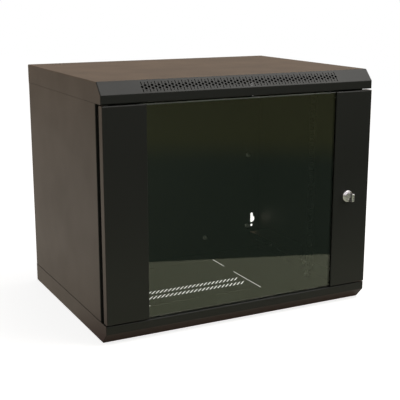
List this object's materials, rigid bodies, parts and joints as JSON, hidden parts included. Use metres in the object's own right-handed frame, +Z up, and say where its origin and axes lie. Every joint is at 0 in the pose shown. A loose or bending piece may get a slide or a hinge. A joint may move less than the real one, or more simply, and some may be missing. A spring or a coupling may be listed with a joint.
{
  "type": "wall mount network cabinet",
  "caption": "Shallow wall-mounted 19 inch cabinet with bevelled roof and base, perforated roof bevel, glass door in two steel bands, thumb-turn lock and depth-adjustable rails.",
  "frame": {"origin": "centre of the base's outer face, between the two rows of floor slots", "axes": "+X to the right seen from the front, +Y from the door to the wall, +Z up"},
  "size_m": [0.6, 0.4751, 0.5],
  "materials": {
    "powder_coat": "fine-textured black powder coat",
    "zinc": "bright zinc plating",
    "glass": "clear tempered glass, polished",
    "tape": "black foam bonding tape",
    "nylon": "black nylon",
    "spring_steel": "drawn spring wire",
    "black_oxide": "black oxide on steel",
    "chrome": "satin nickel plate",
    "rubber": "moulded black rubber"
  },
  "bodies": {
    "cabinet": {"base_tray": "powder_coat", "roof_tray": "powder_coat", "side_panel_left": "powder_coat", "side_panel_right": "powder_coat", "rear_panel": "powder_coat", "rail_left": "powder_coat", "rail_right": "powder_coat", "rail_support_lower_left": "powder_coat", "rail_support_lower_right": "powder_coat", "rail_support_upper_left": "powder_coat", "rail_support_upper_right": "powder_coat", "base_studs": "zinc", "base_nuts": "zinc", "roof_studs": "zinc", "roof_nuts": "zinc", "rear_studs": "zinc", "rear_nuts": "zinc", "support_studs": "zinc", "support_nuts": "zinc", "rail_screws": "zinc", "rail_nuts": "zinc", "earth_stud": "zinc", "earth_nut": "zinc", "hinge_pin_lower": "black_oxide", "door_bumpers": "rubber"},
    "door": {"door_band_left": "powder_coat", "door_band_right": "powder_coat", "door_glass": "glass", "glass_tape_left": "tape", "glass_tape_right": "tape", "hinge_bush_lower": "nylon", "hinge_bush_upper": "nylon", "hinge_bracket": "powder_coat", "hinge_spring": "spring_steel", "lock_body": "chrome", "lock_nut": "chrome"},
    "lock_core": {"lock_turn": "chrome", "lock_cam": "zinc", "lock_cam_screw": "zinc"},
    "hinge_latch": {"hinge_pin_upper": "black_oxide", "hinge_clip": "black_oxide"}
  },
  "joints": [
    {"name": "door_hinge", "type": "hinge", "parent": "cabinet", "child": "door", "pos_m": [-0.29, -0.2175, 0.25], "axis": [0, 0, -1], "range_deg": [0, 180]},
    {"name": "lock_turn", "type": "hinge", "parent": "door", "child": "lock_core", "pos_m": [0.2455, -0.228, 0.2375], "axis": [0, -1, 0], "range_deg": [0, 90]},
    {"name": "hinge_pin_slide", "type": "slide", "parent": "door", "child": "hinge_latch", "axis": [0, 0, -1], "range_m": [0, 0.009], "stiffness_N_per_m": 400, "springref_m": -0.01, "deforming": ["hinge_spring"]}
  ]
}
